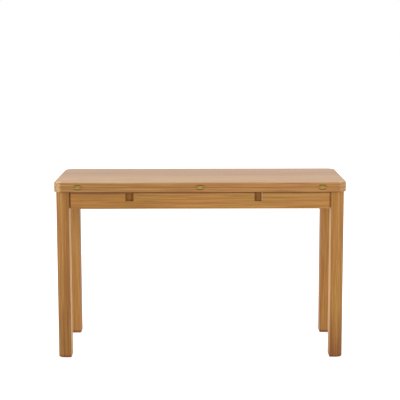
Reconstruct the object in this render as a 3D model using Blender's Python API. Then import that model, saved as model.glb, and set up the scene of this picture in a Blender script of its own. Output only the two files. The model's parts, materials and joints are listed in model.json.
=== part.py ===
"""Flip-top extending dining table, shown closed.

Two equal leaves lie one on the other and are hinged along the front long edge. The upper leaf turns over
to the front and comes to rest on two lopers, the bars that pull out through notches in the front rail.

Units are metres. +Z is up, the long side runs along X and the hinged front edge faces -Y. The origin is on
the floor under the middle of the table top.
"""

import math

import bmesh
import bpy
from mathutils import Matrix, Vector

# Table top
TOP_WIDTH = 1.200
TOP_DEPTH = 0.400
TABLE_HEIGHT = 0.740
LEAF_THICKNESS = 0.020
LEAF_GAP = 0.0006
LEAF_CORNER_RADIUS = 0.032
LEAF_OUTER_ROUND = 0.0025
LEAF_INNER_ROUND = 0.0006

# Butt hinges, opened flat across the two leaf edges
HINGE_END_INSET = 0.100
HINGE_LENGTH = 0.038
HINGE_REACH = 0.0105
HINGE_PLATE_THICKNESS = 0.0016
HINGE_STANDOFF = 0.0004
KNUCKLE_RADIUS = 0.0026
KNUCKLE_COUNT = 5
KNUCKLE_GAP = 0.0003
KNUCKLE_TOOTH_INSET = 0.0002
HINGE_PIN_RADIUS = 0.0012
HINGE_SCREW_SPACING = 0.022
HINGE_SCREW_LENGTH = 0.014
HINGE_SCREW_RADIUS = 0.0012
HINGE_SCREW_HEAD_RADIUS = 0.0024
HINGE_SCREW_HEAD_DEPTH = 0.0012
HINGE_SCREW_TIP_LENGTH = 0.003
HINGE_SCREW_SLOT_WIDTH = 0.0007
HINGE_SCREW_SLOT_DEPTH = 0.0006

# Legs
LEG_SIZE = 0.055
LEG_OVERHANG = 0.008
LEG_OUTER_RADIUS = 0.024
LEG_EDGE_ROUND = 0.002
LEG_FLAT_WIDTH = 0.018
LEG_FLAT_BELOW_RAIL = 0.006

# Rails between the legs, with a shadow gap beside each leg
RAIL_HEIGHT = 0.070
RAIL_THICKNESS = 0.022
RAIL_SETBACK = 0.003
RAIL_EDGE_ROUND = 0.0015
SHADOW_GAP = 0.0065
TENON_THICKNESS = 0.010
TENON_LENGTH = 0.015
TENON_SHOULDER = 0.004

# Cross bearers from the front rail to the back rail
BEARER_LEG_DISTANCE = 0.2735
BEARER_THICKNESS = 0.022
BEARER_HEIGHT = 0.050
BEARER_HOUSING_DEPTH = 0.005

# Lopers, their guides and their stops
LOPER_WIDTH = 0.0275
LOPER_HEIGHT = 0.0364
LOPER_PLAY = 0.0007
LOPER_RECESS = 0.001
LOPER_TAIL_GAP = 0.010
LOPER_TAIL_SOLID = 0.040
LOPER_EDGE_ROUND = 0.0025
LOPER_GROOVE_DEPTH = 0.007
NOTCH_ROOM = 0.0057
FINGER_GRIP_LENGTH = 0.026
FINGER_GRIP_DEPTH = 0.009
CLEAT_THICKNESS = 0.016
RUNNER_THICKNESS = 0.012
RUNNER_LENGTH = 0.190
RUNNER_SETBACK = 0.045
PEG_RADIUS = 0.004
PEG_SETBACK = 0.035
PEG_TIP_CLEARANCE = 0.001

# Corner brackets with one hanger bolt and flange nut each
BRACKET_THICKNESS = 0.002
BRACKET_HEIGHT = 0.048
BRACKET_FLANGE = 0.020
BRACKET_STANDOFF = 0.002
BRACKET_SCREW_RADIUS = 0.0022
BRACKET_SCREW_SPREAD = 0.026
BOLT_RADIUS = 0.004
BOLT_EMBEDMENT = 0.030
BOLT_OVERRUN = 0.004
BOLT_CHAMFER = 0.001
NUT_ACROSS_FLATS = 0.013
NUT_HEIGHT = 0.0065
NUT_FLANGE_RADIUS = 0.009
NUT_FLANGE_HEIGHT = 0.0016

# Felt pads under the feet
PAD_RADIUS = 0.018
PAD_THICKNESS = 0.0022

# Clearances and mesh fineness
FIT = 0.0003
CUT_MARGIN = 0.002
WELD_DISTANCE = 1e-6
CORNER_STEPS = 10
EDGE_STEPS = 2
ROUND_SIDES = 16
SMOOTH_ANGLE = math.radians(35)

# Levels and places that follow from the sizes above
FOLD_Z = TABLE_HEIGHT - LEAF_THICKNESS - LEAF_GAP / 2
FRONT_EDGE_Y = -TOP_DEPTH / 2
PIVOT = Vector((0, FRONT_EDGE_Y - HINGE_STANDOFF, FOLD_Z))
LEAF_UNDERSIDE_Z = FOLD_Z - LEAF_GAP / 2 - LEAF_THICKNESS
FRAME_TOP_Z = LEAF_UNDERSIDE_Z - FIT
FOOT_Z = PAD_THICKNESS + FIT
LEG_LENGTH = FRAME_TOP_Z - FOOT_Z
LEG_CENTRE_X = TOP_WIDTH / 2 - LEG_OVERHANG - LEG_SIZE / 2
LEG_CENTRE_Y = TOP_DEPTH / 2 - LEG_OVERHANG - LEG_SIZE / 2
RAIL_OUTER_X = TOP_WIDTH / 2 - LEG_OVERHANG - RAIL_SETBACK
RAIL_OUTER_Y = TOP_DEPTH / 2 - LEG_OVERHANG - RAIL_SETBACK
RAIL_INNER_Y = RAIL_OUTER_Y - RAIL_THICKNESS
TENON_SETBACK = (RAIL_THICKNESS - TENON_THICKNESS) / 2
HINGE_X = TOP_WIDTH / 2 - HINGE_END_INSET
BEARER_X = LEG_CENTRE_X - LEG_SIZE / 2 - BEARER_LEG_DISTANCE
LOPER_OFFSET = BEARER_THICKNESS / 2 + LOPER_PLAY + LOPER_WIDTH / 2
LOPER_TOP_Z = FRAME_TOP_Z - FIT
LOPER_FRONT_Y = -RAIL_OUTER_Y + LOPER_RECESS
LOPER_LENGTH = RAIL_INNER_Y - LOPER_TAIL_GAP - LOPER_FRONT_Y
NOTCH_DEPTH = FRAME_TOP_Z - LOPER_TOP_Z + LOPER_HEIGHT + LOPER_PLAY
NOTCH_WIDTH = LOPER_WIDTH + NOTCH_ROOM
RIGHT_NOTCH_SHIFT = NOTCH_ROOM / 2 - LOPER_PLAY
RUNNER_WIDTH = CLEAT_THICKNESS + LOPER_WIDTH + 2 * LOPER_PLAY - FIT
PEG_Y = -RAIL_INNER_Y + PEG_SETBACK
GROOVE_START = PEG_Y - PEG_RADIUS - FIT - LOPER_FRONT_Y
GROOVE_END = LOPER_LENGTH - LOPER_TAIL_SOLID
GROOVE_HEIGHT = 2 * (PEG_RADIUS + LOPER_PLAY)
LOPER_TRAVEL = GROOVE_END - GROOVE_START - 2 * (PEG_RADIUS + FIT)
FLAT_DISTANCE = LEG_SIZE / math.sqrt(2) - LEG_FLAT_WIDTH / 2
BRACKET_DISTANCE = FLAT_DISTANCE + BRACKET_STANDOFF
NUT_DISTANCE = BRACKET_DISTANCE + BRACKET_THICKNESS + FIT
FITTING_Z = LEG_LENGTH - RAIL_HEIGHT / 2

# Turn about Z that carries the front right leg to each corner, with the corner's side in X and Y
CORNERS = {
    "front_right": (0.0, 1, -1),
    "back_right": (math.pi / 2, 1, 1),
    "back_left": (math.pi, -1, 1),
    "front_left": (-math.pi / 2, -1, -1),
}
HINGE_PLACES = {"left": -HINGE_X, "centre": 0.0, "right": HINGE_X}
SIDES = {"left": -BEARER_X, "right": BEARER_X}
INWARD = Vector((-1, 1, 0)).normalized()


def clear_scene():
    """Start from an empty scene."""
    for item in list(bpy.data.objects):
        bpy.data.objects.remove(item, do_unlink=True)


def material(name, colour, roughness, metallic=0.0):
    """A plain surface with one colour."""
    made = bpy.data.materials.new(name)
    made.use_nodes = True
    surface = made.node_tree.nodes["Principled BSDF"]
    surface.inputs["Base Color"].default_value = (*colour, 1.0)
    surface.inputs["Roughness"].default_value = roughness
    surface.inputs["Metallic"].default_value = metallic
    made.diffuse_color = (*colour, 1.0)
    return made


def empty(name, location):
    """A parent for pieces that move together, placed on their joint's axis."""
    made = bpy.data.objects.new(name, None)
    made.location = location
    bpy.context.collection.objects.link(made)
    return made


def add_block(bm, low, high, turn=0.0):
    """Add a box between two opposite corners, turned about Z through the origin."""
    low, high = Vector(low), Vector(high)
    place = Matrix.Translation((low + high) / 2) @ Matrix.Diagonal((*(high - low), 1))
    bmesh.ops.create_cube(bm, size=1, matrix=Matrix.Rotation(turn, 4, "Z") @ place)
    return bm


def add_rod(bm, start, end, radius, end_radius=None, sides=ROUND_SIDES):
    """Add a round rod, or a cone where the two radii differ."""
    start, end = Vector(start), Vector(end)
    axis = end - start
    turn = axis.to_track_quat("Z", "Y").to_matrix().to_4x4()
    place = Matrix.Translation((start + end) / 2) @ turn
    far = radius if end_radius is None else end_radius
    bmesh.ops.create_cone(
        bm, cap_ends=True, segments=sides, radius1=radius, radius2=far, depth=axis.length, matrix=place
    )
    return bm


def add_outline(bm, points, rise):
    """Add a prism: a flat outline extruded along a vector."""
    face = bm.faces.new([bm.verts.new(point) for point in points])
    grown = bmesh.ops.extrude_face_region(bm, geom=[face])["geom"]
    lifted = [item for item in grown if isinstance(item, bmesh.types.BMVert)]
    bmesh.ops.translate(bm, vec=rise, verts=lifted)
    return bm


def add_turned(bm, profile, axis, sides=ROUND_SIDES):
    """Add a turned piece from (distance along the axis, radius) points whose ends lie on the axis."""
    axis = Vector(axis).normalized()
    across = axis.orthogonal().normalized()
    line = [bm.verts.new(axis * along + across * radius) for along, radius in profile]
    edges = [bm.edges.new(pair) for pair in zip(line, line[1:])]
    bmesh.ops.spin(
        bm, geom=line + edges, cent=(0, 0, 0), axis=axis, angle=2 * math.pi, steps=sides, use_merge=True
    )
    bmesh.ops.remove_doubles(bm, verts=bm.verts, dist=WELD_DISTANCE)
    return bm


def round_edges(bm, edges, radius, steps=EDGE_STEPS):
    """Round the given edges with an arc."""
    bmesh.ops.bevel(
        bm, geom=edges, offset=radius, offset_type="OFFSET", segments=steps, profile=0.5, affect="EDGES"
    )


def edges_at(bm, test):
    """The edges whose two ends both pass a test."""
    return [edge for edge in bm.edges if all(test(vert.co) for vert in edge.verts)]


def upright_edges(bm):
    """The edges that run along Z."""
    return [edge for edge in bm.edges if not near(edge.verts[0].co.z, edge.verts[1].co.z)]


def near(a, b):
    """Whether two lengths agree."""
    return abs(a - b) < WELD_DISTANCE


def mesh_from(name, bm):
    """Turn a finished shape into a mesh that faces outwards."""
    bmesh.ops.recalc_face_normals(bm, faces=bm.faces)
    made = bpy.data.meshes.new(name)
    bm.to_mesh(made)
    bm.free()
    return made


def shaped(name, body, joined=(), cut=()):
    """A mesh of the body with some shapes joined to it and others then cut away."""
    base = bpy.data.objects.new(name, mesh_from(name, body))
    bpy.context.collection.objects.link(base)
    helpers = []
    for operation, shapes in (("UNION", joined), ("DIFFERENCE", cut)):
        for shape in shapes:
            helper = bpy.data.objects.new(name + "_tool", mesh_from(name + "_tool", shape))
            bpy.context.collection.objects.link(helper)
            step = base.modifiers.new(operation.title(), "BOOLEAN")
            step.operation = operation
            step.object = helper
            helpers.append(helper)
    graph = bpy.context.evaluated_depsgraph_get()
    result = bpy.data.meshes.new_from_object(base.evaluated_get(graph))
    for item in [base, *helpers]:
        bpy.data.objects.remove(item, do_unlink=True)
    result.name = name
    return result


def place(name, mesh, surface, location=(0, 0, 0), rotation=(0, 0, 0), parent=None):
    """Put a mesh into the scene as a named piece."""
    mesh.shade_smooth()
    mesh.set_sharp_from_angle(angle=SMOOTH_ANGLE)
    mesh.materials.clear()
    mesh.materials.append(surface)
    made = bpy.data.objects.new(name, mesh)
    made.location = location
    made.rotation_euler = rotation
    made.parent = parent
    bpy.context.collection.objects.link(made)
    return made


def leaf_mesh():
    """A leaf above the fold, measured from the pivot, with its front edge cut for the hinges."""
    front = HINGE_STANDOFF
    inner = LEAF_GAP / 2
    outer = inner + LEAF_THICKNESS
    body = add_block(
        bmesh.new(), (-TOP_WIDTH / 2, front, inner), (TOP_WIDTH / 2, front + TOP_DEPTH, outer)
    )
    round_edges(body, upright_edges(body), LEAF_CORNER_RADIUS, CORNER_STEPS)
    round_edges(body, edges_at(body, lambda co: near(co.z, outer)), LEAF_OUTER_ROUND)
    round_edges(body, edges_at(body, lambda co: near(co.z, inner)), LEAF_INNER_ROUND)

    pockets, barrels, pilots = bmesh.new(), bmesh.new(), bmesh.new()
    half = HINGE_LENGTH / 2 + FIT
    floor = front + HINGE_PLATE_THICKNESS + FIT
    for x in HINGE_PLACES.values():
        add_block(pockets, (x - half, -CUT_MARGIN, -CUT_MARGIN), (x + half, floor, HINGE_REACH + FIT))
        add_rod(barrels, (x - half, 0, 0), (x + half, 0, 0), KNUCKLE_RADIUS + FIT)
        for screw_x, screw_z in hinge_screw_places():
            start = (x + screw_x, front, screw_z)
            end = (x + screw_x, front + HINGE_SCREW_LENGTH + FIT, screw_z)
            add_rod(pilots, start, end, HINGE_SCREW_RADIUS + FIT)
    return shaped("leaf", body, cut=[pockets, barrels, pilots])


def hinge_screw_places():
    """Where the screws sit in a plate, measured from the hinge's middle along and across."""
    across = (KNUCKLE_RADIUS + FIT + HINGE_REACH) / 2
    return [(-HINGE_SCREW_SPACING / 2, across), (HINGE_SCREW_SPACING / 2, across)]


def hinge_plate_mesh(name, first_knuckle):
    """A hinge plate above the pin, holding every second knuckle from the first one given."""
    pitch = HINGE_LENGTH / KNUCKLE_COUNT
    near_edge = KNUCKLE_RADIUS + FIT
    front, back = HINGE_STANDOFF, HINGE_STANDOFF + HINGE_PLATE_THICKNESS
    half = HINGE_LENGTH / 2
    outline = [(half, front, near_edge), (half, front, HINGE_REACH)]
    outline += [(-half, front, HINGE_REACH), (-half, front, near_edge)]
    knuckles = bmesh.new()
    for index in range(first_knuckle, KNUCKLE_COUNT, 2):
        left = -half + index * pitch + KNUCKLE_GAP / 2
        right = left + pitch - KNUCKLE_GAP
        add_rod(knuckles, (left, 0, 0), (right, 0, 0), KNUCKLE_RADIUS)
        for x, deep in ((left, False), (left, True), (right, True), (right, False)):
            inset = KNUCKLE_TOOTH_INSET if x == left else -KNUCKLE_TOOTH_INSET
            outline.append((x + inset, front, 0 if deep else near_edge))
    body = add_outline(bmesh.new(), outline, (0, HINGE_PLATE_THICKNESS, 0))

    bore = add_rod(
        bmesh.new(), (-half - CUT_MARGIN, 0, 0), (half + CUT_MARGIN, 0, 0), HINGE_PIN_RADIUS + FIT
    )
    holes = bmesh.new()
    slope = (HINGE_SCREW_HEAD_RADIUS - HINGE_SCREW_RADIUS) / HINGE_SCREW_HEAD_DEPTH
    wide = HINGE_SCREW_HEAD_RADIUS + FIT + slope * CUT_MARGIN
    narrow = HINGE_SCREW_HEAD_RADIUS + FIT - slope * HINGE_SCREW_HEAD_DEPTH
    seats = bmesh.new()
    for x, z in hinge_screw_places():
        add_rod(holes, (x, front, z), (x, back + CUT_MARGIN, z), HINGE_SCREW_RADIUS + FIT)
        add_rod(seats, (x, front - CUT_MARGIN, z), (x, front + HINGE_SCREW_HEAD_DEPTH, z), wide, narrow)
    return shaped(name, body, joined=[knuckles], cut=[bore, seats, holes])


def hinge_screw_mesh():
    """A countersunk slotted screw pointing along +Y, with its head's face at the origin."""
    body = add_turned(
        bmesh.new(),
        [
            (0, 0),
            (0, HINGE_SCREW_HEAD_RADIUS),
            (HINGE_SCREW_HEAD_DEPTH, HINGE_SCREW_RADIUS),
            (HINGE_SCREW_LENGTH - HINGE_SCREW_TIP_LENGTH, HINGE_SCREW_RADIUS),
            (HINGE_SCREW_LENGTH, 0),
        ],
        (0, 1, 0),
    )
    slot = add_block(
        bmesh.new(),
        (-HINGE_SCREW_HEAD_RADIUS, -CUT_MARGIN, -HINGE_SCREW_SLOT_WIDTH / 2),
        (HINGE_SCREW_HEAD_RADIUS, HINGE_SCREW_SLOT_DEPTH, HINGE_SCREW_SLOT_WIDTH / 2),
    )
    return shaped("hinge_screw", body, cut=[slot])


def hinge_pin_mesh():
    """The pin through a hinge's knuckles."""
    half = HINGE_LENGTH / 2
    return mesh_from("hinge_pin", add_rod(bmesh.new(), (-half, 0, 0), (half, 0, 0), HINGE_PIN_RADIUS))


def rail_mesh(name, clear_span, notches=(), housings=()):
    """A rail measured from the top of its outer face, with a tenon at each end.

    The clear span is the distance between the two legs. A notch for a loper goes through the rail, and a
    housing for a bearer is cut into its inner face.
    """
    shoulder = clear_span / 2 - SHADOW_GAP
    body = add_block(bmesh.new(), (-shoulder, 0, -RAIL_HEIGHT), (shoulder, RAIL_THICKNESS, 0))
    face_edges = edges_at(body, lambda co: near(co.y, 0))
    low_edges = edges_at(body, lambda co: near(co.z, -RAIL_HEIGHT))
    round_edges(body, list({*face_edges, *low_edges}), RAIL_EDGE_ROUND)
    reach = clear_span / 2 + TENON_LENGTH
    tenon = add_block(
        bmesh.new(),
        (-reach, TENON_SETBACK, -RAIL_HEIGHT + TENON_SHOULDER),
        (reach, TENON_SETBACK + TENON_THICKNESS, -TENON_SHOULDER),
    )
    cuts = []
    behind = RAIL_THICKNESS + CUT_MARGIN
    for x in notches:
        half = NOTCH_WIDTH / 2
        low = (x - half, -CUT_MARGIN, -NOTCH_DEPTH)
        cuts.append(add_block(bmesh.new(), low, (x + half, behind, CUT_MARGIN)))
    for x in housings:
        half = BEARER_THICKNESS / 2 + FIT
        low = (x - half, RAIL_THICKNESS - BEARER_HOUSING_DEPTH, -BEARER_HEIGHT - FIT)
        cuts.append(add_block(bmesh.new(), low, (x + half, behind, CUT_MARGIN)))
    return shaped(name, body, joined=[tenon], cut=cuts)


def leg_mesh():
    """The front right leg, measured from the middle of its foot, with its round corner at +X and -Y."""
    half = LEG_SIZE / 2
    body = add_block(bmesh.new(), (-half, -half, 0), (half, half, LEG_LENGTH))
    outer = edges_at(body, lambda co: co.x > 0 and co.y < 0)
    others = [edge for edge in upright_edges(body) if edge not in outer]
    round_edges(body, others, LEG_EDGE_ROUND)
    outer = edges_at(body, lambda co: near(co.x, half) and near(co.y, -half))
    round_edges(body, outer, LEG_OUTER_RADIUS, CORNER_STEPS)
    round_edges(body, edges_at(body, lambda co: near(co.z, 0)), LEG_EDGE_ROUND, 1)

    near_side = -half + RAIL_SETBACK + TENON_SETBACK - FIT
    far_side = near_side + TENON_THICKNESS + 2 * FIT
    depth = half - TENON_LENGTH - FIT
    low = LEG_LENGTH - RAIL_HEIGHT + TENON_SHOULDER - FIT
    high = LEG_LENGTH - TENON_SHOULDER + FIT
    mortises = bmesh.new()
    add_block(mortises, (-half - CUT_MARGIN, near_side, low), (-depth, far_side, high))
    add_block(mortises, (-far_side, depth, low), (-near_side, half + CUT_MARGIN, high))

    flat_low = LEG_LENGTH - RAIL_HEIGHT - LEG_FLAT_BELOW_RAIL
    flat = add_block(
        bmesh.new(),
        (FLAT_DISTANCE, -LEG_FLAT_WIDTH, flat_low),
        (FLAT_DISTANCE + LEG_FLAT_WIDTH, LEG_FLAT_WIDTH, LEG_LENGTH + CUT_MARGIN),
        math.atan2(INWARD.y, INWARD.x),
    )
    height = Vector((0, 0, FITTING_Z))
    hole = add_rod(
        bmesh.new(),
        INWARD * (FLAT_DISTANCE - BOLT_EMBEDMENT - FIT) + height,
        INWARD * (FLAT_DISTANCE + CUT_MARGIN) + height,
        BOLT_RADIUS + FIT,
    )
    return shaped("leg", body, cut=[mortises, flat, hole])


def bracket_mesh():
    """A folded steel bracket across the inside of a corner, in the leg's own frame."""
    front_face = -LEG_SIZE / 2 + RAIL_SETBACK + RAIL_THICKNESS + FIT
    diagonal = math.sqrt(2) * BRACKET_DISTANCE
    inner_face = front_face + BRACKET_THICKNESS
    inner_diagonal = diagonal + math.sqrt(2) * BRACKET_THICKNESS
    bend, inner_bend = front_face - diagonal, inner_face - inner_diagonal
    outer = [(bend - BRACKET_FLANGE, front_face), (bend, front_face)]
    inner = [(bend - BRACKET_FLANGE, inner_face), (inner_bend, inner_face)]
    outer += [(-y, -x) for x, y in reversed(outer)]
    inner += [(-y, -x) for x, y in reversed(inner)]
    low = FITTING_Z - BRACKET_HEIGHT / 2
    outline = [(x, y, low) for x, y in outer + inner[::-1]]
    body = add_outline(bmesh.new(), outline, (0, 0, BRACKET_HEIGHT))

    height = Vector((0, 0, FITTING_Z))
    start = INWARD * (BRACKET_DISTANCE - CUT_MARGIN) + height
    end = INWARD * (BRACKET_DISTANCE + BRACKET_THICKNESS + CUT_MARGIN) + height
    holes = add_rod(bmesh.new(), start, end, BOLT_RADIUS + FIT)
    along = bend - BRACKET_FLANGE / 2
    for side in (-1, 1):
        z = FITTING_Z + side * BRACKET_SCREW_SPREAD / 2
        near_side, far_side = front_face - CUT_MARGIN, inner_face + CUT_MARGIN
        add_rod(holes, (along, near_side, z), (along, far_side, z), BRACKET_SCREW_RADIUS)
        add_rod(holes, (-near_side, -along, z), (-far_side, -along, z), BRACKET_SCREW_RADIUS)
    return shaped("corner_bracket", body, cut=[holes])


def bolt_mesh():
    """A hanger bolt along the leg's diagonal, from inside the leg to just past its nut."""
    start = FLAT_DISTANCE - BOLT_EMBEDMENT
    end = NUT_DISTANCE + NUT_HEIGHT + BOLT_OVERRUN
    body = add_turned(
        bmesh.new(),
        [
            (start, 0),
            (start + BOLT_RADIUS, BOLT_RADIUS),
            (end - BOLT_CHAMFER, BOLT_RADIUS),
            (end, BOLT_RADIUS - BOLT_CHAMFER),
            (end, 0),
        ],
        INWARD,
    )
    bmesh.ops.translate(body, vec=(0, 0, FITTING_Z), verts=body.verts)
    return mesh_from("leg_bolt", body)


def nut_mesh():
    """A hexagon nut with a round flange, on the bolt against the bracket."""
    height = Vector((0, 0, FITTING_Z))
    seat = INWARD * NUT_DISTANCE + height
    corner = NUT_ACROSS_FLATS / math.sqrt(3)
    hexagon = add_rod(bmesh.new(), seat + INWARD * FIT, seat + INWARD * NUT_HEIGHT, corner, sides=6)
    flange = add_rod(bmesh.new(), seat, seat + INWARD * NUT_FLANGE_HEIGHT, NUT_FLANGE_RADIUS)
    start, end = seat - INWARD * CUT_MARGIN, seat + INWARD * (NUT_HEIGHT + CUT_MARGIN)
    bore = add_rod(bmesh.new(), start, end, BOLT_RADIUS + FIT)
    return shaped("leg_nut", hexagon, joined=[flange], cut=[bore])


def pad_mesh():
    """A felt pad lying on the floor."""
    return mesh_from("foot_pad", add_rod(bmesh.new(), (0, 0, 0), (0, 0, PAD_THICKNESS), PAD_RADIUS))


def bearer_mesh():
    """A cross bearer measured from the middle of its top, with a hole for the stop peg."""
    half_length = RAIL_INNER_Y + BEARER_HOUSING_DEPTH - FIT
    half = BEARER_THICKNESS / 2
    body = add_block(bmesh.new(), (-half, -half_length, -BEARER_HEIGHT), (half, half_length, 0))
    z = LOPER_TOP_Z - LOPER_HEIGHT / 2 - FRAME_TOP_Z
    hole = add_rod(
        bmesh.new(), (-half - CUT_MARGIN, PEG_Y, z), (half + CUT_MARGIN, PEG_Y, z), PEG_RADIUS + FIT
    )
    return shaped("cross_bearer", body, cut=[hole])


def loper_mesh():
    """A loper measured from the middle of its front end's top edge, running back along +Y."""
    half = LOPER_WIDTH / 2
    body = add_block(bmesh.new(), (-half, 0, -LOPER_HEIGHT), (half, LOPER_LENGTH, 0))
    round_edges(body, edges_at(body, lambda co: near(co.z, -LOPER_HEIGHT)), LOPER_EDGE_ROUND)
    middle = -LOPER_HEIGHT / 2
    groove = add_block(
        bmesh.new(),
        (half - LOPER_GROOVE_DEPTH, GROOVE_START, middle - GROOVE_HEIGHT / 2),
        (half + CUT_MARGIN, GROOVE_END, middle + GROOVE_HEIGHT / 2),
    )
    grip_middle = -RAIL_INNER_Y + RUNNER_SETBACK / 2 - LOPER_FRONT_Y
    grip_radius = (FINGER_GRIP_LENGTH**2 / 4 + FINGER_GRIP_DEPTH**2) / (2 * FINGER_GRIP_DEPTH)
    grip_z = -LOPER_HEIGHT + FINGER_GRIP_DEPTH - grip_radius
    start = (-half - CUT_MARGIN, grip_middle, grip_z)
    end = (half + CUT_MARGIN, grip_middle, grip_z)
    grip = add_rod(bmesh.new(), start, end, grip_radius, sides=2 * ROUND_SIDES)
    return shaped("loper", body, cut=[groove, grip])


def cleat_mesh():
    """The cleat along a loper's far side, measured from the middle of its top."""
    half, length = CLEAT_THICKNESS / 2, RAIL_INNER_Y - FIT
    low = LOPER_TOP_Z - LOPER_HEIGHT - LOPER_PLAY + FIT - FRAME_TOP_Z
    return mesh_from("loper_cleat", add_block(bmesh.new(), (-half, -length, low), (half, length, 0)))


def runner_mesh():
    """The runner under a loper, measured from the middle of its top, front end first."""
    half = RUNNER_WIDTH / 2
    body = add_block(bmesh.new(), (-half, 0, -RUNNER_THICKNESS), (half, RUNNER_LENGTH, 0))
    return mesh_from("loper_runner", body)


def peg_mesh():
    """The stop peg through a bearer, measured from the bearer's middle, its tip in the loper's groove."""
    tip = -BEARER_THICKNESS / 2 - LOPER_PLAY - LOPER_GROOVE_DEPTH + PEG_TIP_CLEARANCE
    body = add_rod(bmesh.new(), (tip, 0, 0), (BEARER_THICKNESS / 2, 0, 0), PEG_RADIUS)
    return mesh_from("stop_peg", body)


def build_top(oak, brass, pivot):
    """The two leaves and the three hinges. What turns over hangs on the pivot."""
    upside_down = (0, math.pi, 0)
    leaf = leaf_mesh()
    place("upper_leaf", leaf, oak, parent=pivot)
    place("lower_leaf", leaf, oak, PIVOT, upside_down)
    moving_plate = hinge_plate_mesh("moving_plate", 1)
    fixed_plate = hinge_plate_mesh("fixed_plate", 0)
    pin, screw = hinge_pin_mesh(), hinge_screw_mesh()
    for side, x in HINGE_PLACES.items():
        along = Vector((x, 0, 0))
        place(f"hinge_{side}_moving_plate", moving_plate, brass, along, parent=pivot)
        place(f"hinge_{side}_fixed_plate", fixed_plate, brass, PIVOT + along, upside_down)
        place(f"hinge_{side}_pin", pin, brass, PIVOT + along)
        for number, (screw_x, screw_z) in enumerate(hinge_screw_places(), start=1):
            above = Vector((x + screw_x, HINGE_STANDOFF, screw_z))
            below = Vector((x + screw_x, HINGE_STANDOFF, -screw_z))
            place(f"hinge_{side}_moving_screw_{number}", screw, brass, above, parent=pivot)
            place(f"hinge_{side}_fixed_screw_{number}", screw, brass, PIVOT + below)


def build_corners(oak, steel, felt):
    """The legs with their brackets, bolts, nuts and pads. One corner's meshes serve all four."""
    leg, bracket, bolt, nut, pad = leg_mesh(), bracket_mesh(), bolt_mesh(), nut_mesh(), pad_mesh()
    for corner, (turn, side_x, side_y) in CORNERS.items():
        foot = Vector((side_x * LEG_CENTRE_X, side_y * LEG_CENTRE_Y, FOOT_Z))
        rotation = (0, 0, turn)
        place(f"leg_{corner}", leg, oak, foot, rotation)
        place(f"corner_bracket_{corner}", bracket, steel, foot, rotation)
        place(f"leg_bolt_{corner}", bolt, steel, foot, rotation)
        place(f"leg_nut_{corner}", nut, steel, foot, rotation)
        place(f"foot_pad_{corner}", pad, felt, (foot.x, foot.y, 0))


def build_rails(oak):
    """The four rails between the legs."""
    long_span = 2 * LEG_CENTRE_X - LEG_SIZE
    short_span = 2 * LEG_CENTRE_Y - LEG_SIZE
    bearers = list(SIDES.values())
    notches = [-BEARER_X - LOPER_OFFSET, BEARER_X - LOPER_OFFSET + RIGHT_NOTCH_SHIFT]
    front = rail_mesh("front_rail", long_span, notches, bearers)
    back = rail_mesh("back_rail", long_span, housings=bearers)
    end = rail_mesh("end_rail", short_span)
    place("front_rail", front, oak, (0, -RAIL_OUTER_Y, FRAME_TOP_Z))
    place("back_rail", back, oak, (0, RAIL_OUTER_Y, FRAME_TOP_Z), (0, 0, math.pi))
    place("end_rail_right", end, oak, (RAIL_OUTER_X, 0, FRAME_TOP_Z), (0, 0, math.pi / 2))
    place("end_rail_left", end, oak, (-RAIL_OUTER_X, 0, FRAME_TOP_Z), (0, 0, -math.pi / 2))


def build_lopers(oak, dark_oak):
    """The cross bearers, and beside each one a loper with its cleat, runner and stop peg."""
    bearer, loper, cleat = bearer_mesh(), loper_mesh(), cleat_mesh()
    runner, peg = runner_mesh(), peg_mesh()
    loper_low_z = LOPER_TOP_Z - LOPER_HEIGHT
    for side, x in SIDES.items():
        middle = x - LOPER_OFFSET
        cleat_x = middle - LOPER_WIDTH / 2 - LOPER_PLAY - CLEAT_THICKNESS / 2
        runner_x = x - BEARER_THICKNESS / 2 - FIT - RUNNER_WIDTH / 2
        place(f"cross_bearer_{side}", bearer, oak, (x, 0, FRAME_TOP_Z))
        place(f"loper_{side}", loper, dark_oak, (middle, LOPER_FRONT_Y, LOPER_TOP_Z))
        place(f"loper_cleat_{side}", cleat, oak, (cleat_x, 0, FRAME_TOP_Z))
        runner_y = -RAIL_INNER_Y + RUNNER_SETBACK
        place(f"loper_runner_{side}", runner, oak, (runner_x, runner_y, loper_low_z - LOPER_PLAY))
        place(f"stop_peg_{side}", peg, oak, (x, PEG_Y, LOPER_TOP_Z - LOPER_HEIGHT / 2))


def main():
    """Build the whole table at rest."""
    clear_scene()
    oak = material("oak", (0.42, 0.20, 0.055), 0.45)
    dark_oak = material("dark_oak", (0.20, 0.085, 0.028), 0.55)
    brass = material("brass", (0.46, 0.33, 0.11), 0.35, 1.0)
    steel = material("steel", (0.55, 0.55, 0.53), 0.4, 1.0)
    felt = material("felt", (0.09, 0.06, 0.04), 0.95)
    pivot = empty("leaf_pivot", PIVOT)
    build_top(oak, brass, pivot)
    build_corners(oak, steel, felt)
    build_rails(oak)
    build_lopers(oak, dark_oak)
    print(f"the leaf turns about y {PIVOT.y:.4f}, z {PIVOT.z:.4f}")
    print(f"each loper slides {LOPER_TRAVEL:.4f} m")


main()
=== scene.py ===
# %% [markdown]
# # A flip-top dining table, dressed for its picture
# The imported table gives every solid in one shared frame: metres, the floor at z = 0, the hinged long edge facing -Y.
# This lesson puts a camera in front of it, lights it, and gives each piece the finish and the small forms of the real
# one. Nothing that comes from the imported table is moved; a piece either keeps its solid and takes a new finish, or a
# finer piece stands in its place and rides on the same body.

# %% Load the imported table
import json
import math

import bmesh
import bpy
from mathutils import Matrix, Vector


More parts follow.
